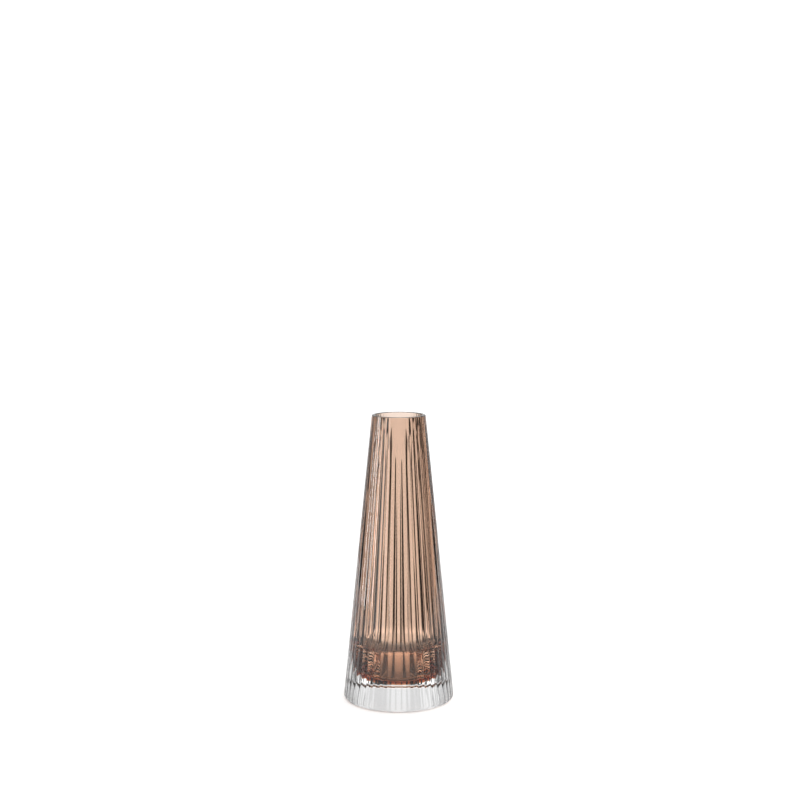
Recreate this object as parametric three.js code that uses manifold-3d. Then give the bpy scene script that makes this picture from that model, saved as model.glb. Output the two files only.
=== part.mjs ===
// A tall conical bud vase of cased glass: a sepia-tinted inner vessel blown inside a thick clear casing.
// The casing has fine vertical ribs outside, a heavy clear base and a shallow hollow underneath.
// Millimetres, +Z up, origin at the centre of the ring that the vase rests on.
import * as THREE from "three";
import { mergeVertices } from "three/addons/utils/BufferGeometryUtils.js";
import Module from "manifold-3d";

// Driving dimensions. Radii of the outside are taken over the crests of the ribs.
const HEIGHT = 180;
const BASE_RADIUS = 35;
const MOUTH_RADIUS = 16.8;
const HEEL_FILLET = 2;
const LIP_FILLET = 0.8;

const RIB_COUNT = 44;
const RIB_DEPTH_AT_FOOT = 0.28;
const RIB_DEPTH_AT_MOUTH = 0.09;

const CLEAR_BASE = 12.5;
const SHOULDER_HEIGHT = 38;
const CASING_WALL_AT_FLOOR = 15.4;
const CASING_WALL_AT_SHOULDER = 4.9;
const CASING_WALL_AT_MOUTH = 1;

const LINER_GAP = 0.3;
const LINER_WALL = 1.2;
const LINER_FLOOR = 2.2;
const FLOOR_FILLET = 6;
const SHOULDER_FILLET = 25;

const REST_RING_WIDTH = 7;
const PUNT_DEPTH = 0.5;

// How finely the round shapes are faceted.
const STEPS_PER_RIB = 4;
const SMOOTH_SEGMENTS = 80;
const FILLET_STEPS = 5;
const LIP_STEPS = 3;
const PUNT_STEPS = 4;
const CUT_MARGIN = 2;

const wasm = await Module();
wasm.setup();

const clearGlass = new THREE.MeshStandardMaterial({ color: 0xf4f3f6, roughness: 0.03, metalness: 0 });
const sepiaGlass = new THREE.MeshStandardMaterial({ color: 0x8a6350, roughness: 0.04, metalness: 0 });

// A corner of an outline, at its distance from the axis and its height, rounded by its fillet.
function corner(radius, z, fillet = 0, steps = FILLET_STEPS) {
  return { at: new THREE.Vector2(radius, z), fillet, steps };
}

// The arc that rounds one corner, from the side of the corner before it to the side of the one after it.
function filletArc(before, { at, fillet, steps }, after) {
  const toBefore = before.at.clone().sub(at).normalize();
  const toAfter = after.at.clone().sub(at).normalize();
  const halfAngle = toBefore.angleTo(toAfter) / 2;
  const tangentLength = fillet / Math.tan(halfAngle);
  const centre = toBefore.clone().add(toAfter).setLength(fillet / Math.sin(halfAngle)).add(at);
  const start = toBefore.clone().multiplyScalar(tangentLength).add(at).sub(centre);
  const end = toAfter.clone().multiplyScalar(tangentLength).add(at).sub(centre);
  const sweep = Math.atan2(start.cross(end), start.dot(end));
  const origin = new THREE.Vector2();
  return Array.from({ length: steps + 1 }, (_, i) =>
    start.clone().rotateAround(origin, (sweep * i) / steps).add(centre),
  );
}

// The points of an outline through its corners, for a LatheGeometry.
function outline(corners) {
  return corners.flatMap((c, i) =>
    c.fillet > 0 ? filletArc(corners[i - 1], c, corners[i + 1]) : [c.at],
  );
}

// A solid of revolution about Z. The outline runs up the outside, so that the faces point outwards.
function turned(points, segments) {
  return new THREE.LatheGeometry(points, segments).rotateX(Math.PI / 2);
}

function toSolid(geometry) {
  const bare = geometry.clone();
  bare.deleteAttribute("normal");
  bare.deleteAttribute("uv");
  const merged = mergeVertices(bare, 1e-4);
  const vertProperties = merged.attributes.position.array;
  const triVerts = new Uint32Array(merged.index.array);
  return new wasm.Manifold(new wasm.Mesh({ numProp: 3, vertProperties, triVerts }));
}

function toGeometry(solid) {
  const { numProp, vertProperties, triVerts } = solid.getMesh();
  const packed = new THREE.InterleavedBuffer(vertProperties, numProp);
  const geometry = new THREE.BufferGeometry();
  geometry.setAttribute("position", new THREE.InterleavedBufferAttribute(packed, 3, 0));
  geometry.setIndex(new THREE.BufferAttribute(triVerts, 1));
  const separate = geometry.toNonIndexed();
  separate.computeVertexNormals();
  return separate;
}

// The outside of the vase is a straight cone between its base and its mouth.
function outsideRadius(z) {
  return THREE.MathUtils.mapLinear(z, 0, HEIGHT, BASE_RADIUS, MOUTH_RADIUS);
}

// Ribs are deepest just above the heel, fade up the wall, and die out in the heel and in the lip.
function ribDepth(z) {
  const heel = THREE.MathUtils.clamp(z / HEEL_FILLET, 0, 1);
  const lip = THREE.MathUtils.clamp((HEIGHT - z) / LIP_FILLET, 0, 1);
  return THREE.MathUtils.lerp(RIB_DEPTH_AT_FOOT, RIB_DEPTH_AT_MOUTH, z / HEIGHT) * heel * lip;
}

// Presses the valleys into a turned solid whose crests are already in place: round ribs that meet in a crease.
function pressRibs(geometry) {
  const position = geometry.attributes.position;
  for (let i = 0; i < position.count; i++) {
    const across = new THREE.Vector2(position.getX(i), position.getY(i));
    const valley = 1 - Math.abs(Math.cos((RIB_COUNT * across.angle()) / 2));
    across.setLength(across.length() - ribDepth(position.getZ(i)) * valley);
    position.setXY(i, across.x, across.y);
  }
  return geometry;
}

// The outside of the sepia vessel, spread outwards by a clearance where the casing is cut to take it.
function linerOutside(clearance = 0) {
  const gap = LINER_GAP - clearance;
  const floorRadius = outsideRadius(CLEAR_BASE) - CASING_WALL_AT_FLOOR - gap;
  const shoulderRadius = outsideRadius(SHOULDER_HEIGHT) - CASING_WALL_AT_SHOULDER - gap;
  return [
    corner(0, CLEAR_BASE),
    corner(floorRadius, CLEAR_BASE, FLOOR_FILLET),
    corner(shoulderRadius, SHOULDER_HEIGHT, SHOULDER_FILLET),
    corner(MOUTH_RADIUS - CASING_WALL_AT_MOUTH - gap, HEIGHT),
  ];
}

// The wall of the sepia vessel is even from the floor up, and its floor is thicker than its wall.
function linerInside() {
  const [, floor, shoulder, mouth] = linerOutside();
  const lip = Math.min(LIP_FILLET, LINER_WALL * 0.7);
  return [
    corner(mouth.at.x - LINER_WALL, HEIGHT, lip, LIP_STEPS),
    corner(shoulder.at.x - LINER_WALL, SHOULDER_HEIGHT, SHOULDER_FILLET),
    corner(floor.at.x - LINER_WALL, CLEAR_BASE + LINER_FLOOR, FLOOR_FILLET - LINER_WALL),
    corner(0, CLEAR_BASE + LINER_FLOOR),
  ];
}

// A flat lens of glass ground away under the base, so that the vase stands on a ring.
function puntCutter() {
  const puntRadius = BASE_RADIUS - HEEL_FILLET - REST_RING_WIDTH;
  const sphereRadius = (puntRadius ** 2 + PUNT_DEPTH ** 2) / (2 * PUNT_DEPTH);
  const centreZ = PUNT_DEPTH - sphereRadius;
  const edgeAngle = Math.acos((-PUNT_DEPTH - centreZ) / sphereRadius);
  const cap = Array.from({ length: PUNT_STEPS + 1 }, (_, i) => {
    const angle = edgeAngle * (1 - i / PUNT_STEPS);
    return new THREE.Vector2(sphereRadius * Math.sin(angle), centreZ + sphereRadius * Math.cos(angle));
  });
  return turned([new THREE.Vector2(0, -PUNT_DEPTH), ...cap], SMOOTH_SEGMENTS);
}

function clearCasing() {
  const lip = Math.min(LIP_FILLET, CASING_WALL_AT_MOUTH * 0.8);
  const blank = turned(
    outline([
      corner(0, 0),
      corner(BASE_RADIUS, 0, HEEL_FILLET),
      corner(MOUTH_RADIUS, HEIGHT, lip, LIP_STEPS),
      corner(0, HEIGHT),
    ]),
    RIB_COUNT * STEPS_PER_RIB,
  );
  const cavity = outline(linerOutside(LINER_GAP));
  const mouthRadius = cavity.at(-1).x;
  cavity.push(new THREE.Vector2(mouthRadius, HEIGHT + CUT_MARGIN), new THREE.Vector2(0, HEIGHT + CUT_MARGIN));
  const solid = toSolid(pressRibs(blank))
    .subtract(toSolid(turned(cavity, SMOOTH_SEGMENTS)))
    .subtract(toSolid(puntCutter()));
  return toGeometry(solid);
}

function sepiaLiner() {
  return turned(outline([...linerOutside(), ...linerInside()]), SMOOTH_SEGMENTS);
}

function piece(name, geometry, material) {
  const mesh = new THREE.Mesh(geometry, material);
  mesh.name = name;
  return mesh;
}

const vase = new THREE.Group();
vase.add(
  piece("clear_glass_casing", clearCasing(), clearGlass),
  piece("sepia_glass_liner", sepiaLiner(), sepiaGlass),
);

export default vase;
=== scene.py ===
"""Blender look of the glass bud vase: clear ribbed glass fused round a sepia inner vessel, in a studio.

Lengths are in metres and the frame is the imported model's own: +Z up, and the vase stands on Z = 0.
The camera looks along +Y. Angles are in degrees.
"""

import math

import bpy
import numpy as np
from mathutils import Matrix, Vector

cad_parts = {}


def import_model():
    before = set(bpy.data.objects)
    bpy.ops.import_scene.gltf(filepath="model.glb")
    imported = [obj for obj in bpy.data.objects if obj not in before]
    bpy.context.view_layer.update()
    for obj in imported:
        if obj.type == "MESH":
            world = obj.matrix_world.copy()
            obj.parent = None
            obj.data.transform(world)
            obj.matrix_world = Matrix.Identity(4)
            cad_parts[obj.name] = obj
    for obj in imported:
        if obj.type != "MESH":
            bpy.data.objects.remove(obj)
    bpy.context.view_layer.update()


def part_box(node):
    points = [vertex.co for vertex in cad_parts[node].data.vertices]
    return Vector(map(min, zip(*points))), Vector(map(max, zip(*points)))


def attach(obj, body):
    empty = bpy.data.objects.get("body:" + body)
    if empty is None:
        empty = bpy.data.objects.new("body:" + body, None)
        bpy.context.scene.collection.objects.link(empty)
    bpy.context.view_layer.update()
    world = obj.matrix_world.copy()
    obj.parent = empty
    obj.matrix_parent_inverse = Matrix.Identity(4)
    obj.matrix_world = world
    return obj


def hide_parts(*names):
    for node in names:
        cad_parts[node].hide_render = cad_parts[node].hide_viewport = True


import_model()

CASING = "clear_glass_casing"
LINER = "sepia_glass_liner"
MM = 0.001

# The vase's overall sizes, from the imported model.
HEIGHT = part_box(CASING)[1].z
CLEAR_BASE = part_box(LINER)[0].z

# Sizes that a bounding box can't give, as in the CAD source. Outside radii are over the crests of the ribs.
BASE_RADIUS = 35 * MM
MOUTH_RADIUS = 16.8 * MM
HEEL_FILLET = 2 * MM
LIP_FILLET = 0.8 * MM
RIB_COUNT = 44
RIB_DEPTH_AT_FOOT = 0.28 * MM
RIB_DEPTH_AT_MOUTH = 0.09 * MM
RIB_FADE_BELOW_LIP = 2 * LIP_FILLET
SHOULDER_HEIGHT = 38 * MM
CASING_WALL_AT_FLOOR = 15.4 * MM
CASING_WALL_AT_SHOULDER = 4.9 * MM
CASING_WALL_AT_MOUTH = 1 * MM
LINER_GAP = 0.3 * MM
LINER_WALL = 1.2 * MM
LINER_FLOOR = 2.2 * MM
FLOOR_FILLET = 6 * MM
SHOULDER_FILLET = 25 * MM
REST_RING_WIDTH = 7 * MM
PUNT_DEPTH = 0.5 * MM
PUNT_RADIUS = BASE_RADIUS - HEEL_FILLET - REST_RING_WIDTH

# The tint starts this far behind the wall of the cavity, so that no air comes between it and the glass.
SKIN = 0.05 * MM

# A ring of the clear glass is ribbed if it lies this near the cone, and not on the inner part of the lip.
# One ring of the cavity, 15 mm below the mouth, lies near enough to be ribbed too.
RIBBED_WITHIN = 1.5 * HEEL_FILLET
CAVITY_MOUTH_RADIUS = MOUTH_RADIUS - CASING_WALL_AT_MOUTH - LINER_GAP - LINER_WALL
SMALLEST_RIBBED_RADIUS = CAVITY_MOUTH_RADIUS + 1 * MM

# How finely the round shapes are faceted.
FILLET_STEPS = 16
WALL_STEPS = 24
STEPS_PER_RIB = 14
SMOOTH_SEGMENTS = 192
ON_AXIS = 1e-7

GLASS_IOR = 1.5

# How strongly the sepia glass absorbs red, green and blue light, per metre.
SEPIA_PER_METRE = (165, 335, 465)
DENSITY_MARGIN = 1.05

# The camera's place, its pitch below the horizon, and its lens and sensor in millimetres.
CAMERA_OFFSET = 0.8 * MM
CAMERA_DISTANCE = 4.79 * HEIGHT
CAMERA_HEIGHT = 1.537 * HEIGHT
CAMERA_PITCH = 5.8
CAMERA_LENS = 62.6
SENSOR_WIDTH = 36
CAMERA_CLIP = (0.01, 50)

# The floor lies just under the resting ring, so that the two faces don't coincide.
FLOOR_RADIUS = 0.6
FLOOR_DROP = 0.1 * MM
FLOOR_SEGMENTS = 128
FLOOR_WHITE = 0.9
FLOOR_ROUGHNESS = 0.9

# Softboxes that put soft streaks on the outside of the glass, as (name, place, width and height, watts).
SOFTBOXES = [
    ("front_softbox", (-0.77, -0.64, 0.3), (0.5, 1.1), 3),
    ("side_softbox", (-1.0, 0.0, 0.3), (0.3, 1.1), 7),
]
SOFTBOX_TARGET = (0, 0, HEIGHT / 2)

# The bright panels around the vase, as (degrees from +Y towards -X, half width in degrees, brightness).
PANELS = [
    (0, 6, 1.2),
    (24, 5, 1.6),
    (50, 5, 0.8),
    (90, 7, 1.0),
    (135, 8, 0.8),
    (180, 8, 0.8),
    (-29, 5, 1.3),
    (-52, 5, 1.0),
    (-90, 8, 0.8),
    (-135, 8, 0.8),
]
PANEL_EDGE = 2.5
LOW_PANEL_GAIN = 1.3

# How bright the parts of the room are that the glass sees. White is 1.
ROOM_LIGHT = 0.02
TABLE_LIGHT = 0.12
TABLE_SHADE = 0.03
TABLE_GLOSS = 0.22
FRONT_TABLE_LIGHT = 0.35
SIDE_LIGHT_LOW = 0.1
SIDE_LIGHT_HIGH = 0.4
SIDE_BACKDROP_LIGHT = 0.6
BACKDROP_LIGHT = 0.8
PANELS_IN_BACKDROP = 0.15
CEILING_LIGHT = 1.6
CAMERA_BACKDROP = 1.2

# The heights between which one part of the room fades into the next, in degrees above the horizon.
TABLE_UNDER_VASE_ENDS = (-76, -66)
LOW_PANELS_START = (-36, -28)
LOW_PANELS_END = (-27, -21)
BACKDROP_STARTS = (-8, -3)
SIDE_LIGHT_RISES = (6, 11)
CEILING_STARTS = (30, 50)

# The parts of the room that lie in one direction, as (degrees from +Y towards -X, half width, soft edge).
BACKDROP_SPAN = (0, 40, 22)
SIDE_BACKDROP_SPAN = (90, 30, 15)
FRONT_TABLE_SPAN = (180, 75, 12)

# Light passes many faces of the ribs before it leaves the glass.
GLASS_BOUNCES = 32


def fillet_arc(before, corner, after, radius):
    """The points of the arc that rounds a corner of an outline."""
    before, corner, after = (np.array(p, float) for p in (before, corner, after))
    to_before = (before - corner) / np.linalg.norm(before - corner)
    to_after = (after - corner) / np.linalg.norm(after - corner)
    half_angle = math.acos(float(to_before @ to_after)) / 2
    bisector = (to_before + to_after) / np.linalg.norm(to_before + to_after)
    centre = corner + bisector * radius / math.sin(half_angle)
    start = corner + to_before * radius / math.tan(half_angle) - centre
    end = corner + to_after * radius / math.tan(half_angle) - centre
    sweep = math.atan2(start[0] * end[1] - start[1] * end[0], float(start @ end))
    points = []
    for turn in np.linspace(0, sweep, FILLET_STEPS + 1):
        c, s = math.cos(turn), math.sin(turn)
        points.append(centre + np.array([c * start[0] - s * start[1], s * start[0] + c * start[1]]))
    return points


def outline(corners):
    """Points (radius, z) along corners given as (radius, z, fillet)."""
    points = []
    for i, (radius, z, fillet) in enumerate(corners):
        if fillet > 0:
            points += fillet_arc(corners[i - 1][:2], (radius, z), corners[i + 1][:2], fillet)
        else:
            points.append(np.array([radius, z], float))
    return points


def subdivide(points, longest):
    """The same outline with no step longer than a length."""
    finer = [points[0]]
    for start, end in zip(points, points[1:]):
        steps = max(1, math.ceil(np.linalg.norm(end - start) / longest))
        finer += [start + (end - start) * (k + 1) / steps for k in range(steps)]
    return finer


def revolve(name, points, segments, pressed=None):
    """A closed mesh turned about Z from an outline that starts and ends on the axis.

    pressed(radius, z, angles) gives the distances from the axis round a ring that isn't a plain circle.
    """
    rings = [point for point in points if point[0] > ON_AXIS]
    angles = np.arange(segments) * 2 * math.pi / segments
    verts = []
    for radius, z in rings:
        reach = radius if pressed is None else pressed(radius, z, angles)
        verts.append(np.stack([reach * np.cos(angles), reach * np.sin(angles), np.full(segments, z)], 1))
    verts = np.concatenate(verts + [[[0, 0, points[0][1]], [0, 0, points[-1][1]]]])
    first_pole, last_pole = len(verts) - 2, len(verts) - 1
    here = np.arange(segments)
    after = (here + 1) % segments
    faces = []
    for k in range(len(rings) - 1):
        low, high = k * segments, (k + 1) * segments
        faces += np.stack([low + here, low + after, high + after, high + here], 1).tolist()
    last_ring = (len(rings) - 1) * segments
    faces += [(first_pole, int(b), int(a)) for a, b in zip(here, after)]
    faces += [(last_pole, int(last_ring + a), int(last_ring + b)) for a, b in zip(here, after)]
    mesh = bpy.data.meshes.new(name)
    mesh.from_pydata(verts.tolist(), [], faces)
    mesh.validate()
    mesh.polygons.foreach_set("use_smooth", [True] * len(mesh.polygons))
    mesh.update()
    piece = bpy.data.objects.new(name, mesh)
    bpy.context.collection.objects.link(piece)
    return piece


def outside_radius(z):
    """The straight cone over the crests of the ribs."""
    return BASE_RADIUS + (MOUTH_RADIUS - BASE_RADIUS) * z / HEIGHT


def rib_depth(z):
    """Ribs are deepest just above the heel, fade up the wall, and die out in the heel and below the lip."""
    heel = np.clip(z / HEEL_FILLET, 0, 1)
    lip = np.clip((HEIGHT - z) / RIB_FADE_BELOW_LIP, 0, 1)
    return (RIB_DEPTH_AT_FOOT + (RIB_DEPTH_AT_MOUTH - RIB_DEPTH_AT_FOOT) * z / HEIGHT) * heel * lip


def ribbed(radius, z, angles):
    """Round ribs that meet in a crease, pressed into a ring that lies near the cone."""
    if radius < max(outside_radius(z) - RIBBED_WITHIN, SMALLEST_RIBBED_RADIUS):
        return np.full(len(angles), radius)
    return radius - rib_depth(z) * (1 - np.abs(np.cos(RIB_COUNT * angles / 2)))


def liner_radii(inwards=0.0):
    """Radii of the sepia vessel's outside at its floor, shoulder and mouth, less a distance."""
    floor_radius = outside_radius(CLEAR_BASE) - CASING_WALL_AT_FLOOR - LINER_GAP - inwards
    shoulder_radius = outside_radius(SHOULDER_HEIGHT) - CASING_WALL_AT_SHOULDER - LINER_GAP - inwards
    mouth_radius = MOUTH_RADIUS - CASING_WALL_AT_MOUTH - LINER_GAP - inwards
    return floor_radius, shoulder_radius, mouth_radius


def cavity_corners(outwards=0.0, top=HEIGHT):
    """Corners of the inside of the vase, spread by a distance, from the mouth down to the axis."""
    floor_radius, shoulder_radius, mouth_radius = liner_radii(LINER_WALL - outwards)
    floor_z = CLEAR_BASE + LINER_FLOOR - outwards
    return [
        (mouth_radius, top, 0),
        (shoulder_radius, SHOULDER_HEIGHT, SHOULDER_FILLET),
        (floor_radius, floor_z, FLOOR_FILLET - LINER_WALL + outwards),
        (0, floor_z, 0),
    ]


def punt_arc():
    """The shallow dome under the base, from its middle to the resting ring."""
    sphere = (PUNT_RADIUS**2 + PUNT_DEPTH**2) / (2 * PUNT_DEPTH)
    edge = math.asin(PUNT_RADIUS / sphere)
    turns = np.linspace(0, edge, FILLET_STEPS + 1)
    return [np.array([sphere * math.sin(t), PUNT_DEPTH - sphere + sphere * math.cos(t)]) for t in turns]


def glass_body():
    """The clear glass, with its ribs outside and the cavity inside, as one closed surface."""
    corners = [
        (PUNT_RADIUS, 0, 0),
        (BASE_RADIUS, 0, HEEL_FILLET),
        (MOUTH_RADIUS, HEIGHT, LIP_FILLET),
        (CAVITY_MOUTH_RADIUS, HEIGHT, LIP_FILLET),
        *cavity_corners()[1:],
    ]
    points = subdivide(punt_arc()[:-1] + outline(corners), HEIGHT / WALL_STEPS)
    return revolve("glass_casing", points, RIB_COUNT * STEPS_PER_RIB, ribbed)


def tinted_layer():
    """The layer of sepia glass between the cavity and the clear casing, thickest under the floor."""
    top = HEIGHT - SKIN
    floor_radius, shoulder_radius, mouth_radius = liner_radii()
    outside = outline([
        (0, CLEAR_BASE, 0),
        (floor_radius, CLEAR_BASE, FLOOR_FILLET),
        (shoulder_radius, SHOULDER_HEIGHT, SHOULDER_FILLET),
        (mouth_radius, top, 0),
    ])
    inside = outline(cavity_corners(SKIN, top))
    points = subdivide(outside + inside, HEIGHT / WALL_STEPS)
    return revolve("sepia_layer", points, SMOOTH_SEGMENTS)


def new_material(name):
    material = bpy.data.materials.new(name)
    material.use_nodes = True
    return material, material.node_tree, material.node_tree.nodes["Principled BSDF"]


def clear_glass():
    """Smooth clear glass, which bends the light at the real surfaces of the vase."""
    material, _, shader = new_material("clear_glass")
    shader.inputs["Base Color"].default_value = (1, 1, 1, 1)
    shader.inputs["Transmission Weight"].default_value = 1
    shader.inputs["IOR"].default_value = GLASS_IOR
    shader.inputs["Roughness"].default_value = 0.0
    return material


def sepia_glass():
    """Tint that only absorbs light. It lies inside the clear glass, whose surfaces do the bending."""
    material, tree, shader = new_material("sepia_glass")
    shader.inputs["Base Color"].default_value = (1, 1, 1, 1)
    shader.inputs["Transmission Weight"].default_value = 1
    shader.inputs["IOR"].default_value = 1.0
    shader.inputs["Roughness"].default_value = 0.0
    depth = tree.nodes.new("ShaderNodeVolumeAbsorption")
    density = max(SEPIA_PER_METRE) * DENSITY_MARGIN
    depth.inputs["Color"].default_value = (*(1 - s / density for s in SEPIA_PER_METRE), 1)
    depth.inputs["Density"].default_value = density
    tree.links.new(depth.outputs["Volume"], tree.nodes["Material Output"].inputs["Volume"])
    return material


def matt_floor():
    """A plain pale floor without gloss."""
    material, _, shader = new_material("floor")
    shader.inputs["Base Color"].default_value = (FLOOR_WHITE, FLOOR_WHITE, FLOOR_WHITE, 1)
    shader.inputs["Roughness"].default_value = FLOOR_ROUGHNESS
    shader.inputs["Specular IOR Level"].default_value = 0.0
    return material


def camera():
    """The camera stands a little above the mouth of the vase and looks slightly down at it."""
    data = bpy.data.cameras.new("camera")
    data.lens = CAMERA_LENS
    data.sensor_width = SENSOR_WIDTH
    data.clip_start, data.clip_end = CAMERA_CLIP
    made = bpy.data.objects.new("camera", data)
    made.location = (CAMERA_OFFSET, -CAMERA_DISTANCE, CAMERA_HEIGHT)
    made.rotation_euler = (math.radians(90 - CAMERA_PITCH), 0, 0)
    bpy.context.collection.objects.link(made)
    bpy.context.scene.camera = made


def floor():
    """A disc under the vase.

    Rays through the glass don't see it, because it is dark where the vase shades it. They see the room's
    table instead.
    """
    bpy.ops.mesh.primitive_circle_add(
        vertices=FLOOR_SEGMENTS, radius=FLOOR_RADIUS, fill_type="NGON", location=(0, 0, -FLOOR_DROP)
    )
    made = bpy.context.object
    made.name = "floor"
    made.data.materials.append(matt_floor())
    made.visible_transmission = False


def softbox(name, place, size, watts):
    """A soft light that shines on the vase and isn't seen through it."""
    data = bpy.data.lights.new(name, "AREA")
    data.shape = "RECTANGLE"
    data.size, data.size_y = size
    data.energy = watts
    data.use_shadow = False
    made = bpy.data.objects.new(name, data)
    made.visible_transmission = False
    made.location = place
    made.rotation_euler = (Vector(SOFTBOX_TARGET) - Vector(place)).to_track_quat("-Z", "Y").to_euler()
    bpy.context.collection.objects.link(made)


class DirectionNodes:
    """Shader nodes of the world that make numbers out of the direction of a ray."""

    def __init__(self, tree):
        self.nodes = tree.nodes
        self.links = tree.links
        coords = self.nodes.new("ShaderNodeTexCoord")
        split = self.nodes.new("ShaderNodeSeparateXYZ")
        self.links.new(coords.outputs["Generated"], split.inputs[0])
        self.height = split.outputs["Z"]
        self.azimuth = self.calculate(
            "ARCTAN2", self.calculate("MULTIPLY", split.outputs["X"], -1), split.outputs["Y"]
        )

    def calculate(self, operation, *values):
        """The result of one sum, whose values are numbers or the results of other nodes."""
        node = self.nodes.new("ShaderNodeMath")
        node.operation = operation
        for socket, value in zip(node.inputs, values):
            if isinstance(value, (int, float)):
                socket.default_value = value
            else:
                self.links.new(value, socket)
        return node.outputs[0]

    def fade(self, value, start, end):
        """Goes smoothly from 0 to 1 as the value goes from start to end."""
        node = self.nodes.new("ShaderNodeMapRange")
        node.interpolation_type = "SMOOTHSTEP"
        self.links.new(value, node.inputs["Value"])
        node.inputs["From Min"].default_value = start
        node.inputs["From Max"].default_value = end
        return node.outputs["Result"]

    def above(self, start, end):
        """Fades in between two heights, in degrees above the horizon."""
        return self.fade(self.height, math.sin(math.radians(start)), math.sin(math.radians(end)))

    def around(self, middle, half_width, edge):
        """Fades in towards a direction, in degrees from +Y towards -X."""
        nearness = self.calculate("COSINE", self.calculate("SUBTRACT", self.azimuth, math.radians(middle)))
        outer = math.cos(math.radians(half_width + edge))
        inner = math.cos(math.radians(half_width - edge))
        return self.fade(nearness, outer, inner)

    def mix(self, first, second, share):
        """Goes from the first value to the second as the share goes from 0 to 1."""
        return self.calculate("MULTIPLY_ADD", self.calculate("SUBTRACT", second, first), share, first)


def panel_light(ray):
    """Bright upright panels in a dark room, which draw the stripes in the ribs."""
    light = ROOM_LIGHT
    for middle, half_width, brightness in PANELS:
        panel = ray.calculate("MULTIPLY", ray.around(middle, half_width, PANEL_EDGE), brightness)
        light = ray.calculate("MAXIMUM", light, panel)
    return light


def table_light(ray, panels):
    """The table: dim under the vase, with the panels reflected in it further out, and paler in front."""
    glossy_table = ray.calculate("MULTIPLY_ADD", panels, TABLE_GLOSS, TABLE_SHADE)
    light = ray.mix(TABLE_LIGHT, glossy_table, ray.above(*TABLE_UNDER_VASE_ENDS))
    low_panels = ray.calculate("MULTIPLY", panels, LOW_PANEL_GAIN)
    light = ray.mix(light, low_panels, ray.above(*LOW_PANELS_START))
    light = ray.mix(light, panels, ray.above(*LOW_PANELS_END))
    front_table = ray.calculate("MULTIPLY", ray.around(*FRONT_TABLE_SPAN), FRONT_TABLE_LIGHT)
    return ray.calculate("MAXIMUM", light, front_table)


def backdrop_light(ray, panels):
    """The soft backdrop: brightest behind the vase, less so on its -X side, and dim elsewhere."""
    sides = ray.mix(SIDE_LIGHT_LOW, SIDE_LIGHT_HIGH, ray.above(*SIDE_LIGHT_RISES))
    light = ray.mix(sides, SIDE_BACKDROP_LIGHT, ray.around(*SIDE_BACKDROP_SPAN))
    light = ray.mix(light, BACKDROP_LIGHT, ray.around(*BACKDROP_SPAN))
    return ray.mix(light, panels, PANELS_IN_BACKDROP)


def room_light(ray):
    """The room that the glass sees: a table and panels, then a backdrop, then a bright ceiling."""
    panels = panel_light(ray)
    light = table_light(ray, panels)
    light = ray.mix(light, backdrop_light(ray, panels), ray.above(*BACKDROP_STARTS))
    return ray.mix(light, CEILING_LIGHT, ray.above(*CEILING_STARTS))


def world():
    """White for the camera, and the room for every other ray."""
    made = bpy.data.worlds.new("studio")
    made.use_nodes = True
    bpy.context.scene.world = made
    nodes, links = made.node_tree.nodes, made.node_tree.links
    background = nodes["Background"]
    background.inputs["Color"].default_value = (1, 1, 1, 1)
    ray = DirectionNodes(made.node_tree)
    from_camera = nodes.new("ShaderNodeLightPath").outputs["Is Camera Ray"]
    seen = ray.calculate("MULTIPLY", from_camera, CAMERA_BACKDROP)
    links.new(ray.calculate("MAXIMUM", room_light(ray), seen), background.inputs["Strength"])


camera()
floor()
world()
for softbox_values in SOFTBOXES:
    softbox(*softbox_values)

casing = glass_body()
casing.data.materials.append(clear_glass())
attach(casing, "root")
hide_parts(CASING)

liner = tinted_layer()
liner.data.materials.append(sepia_glass())
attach(liner, "root")
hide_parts(LINER)

scene = bpy.context.scene
scene.view_settings.view_transform = "Standard"
scene.cycles.max_bounces = GLASS_BOUNCES
scene.cycles.transmission_bounces = GLASS_BOUNCES
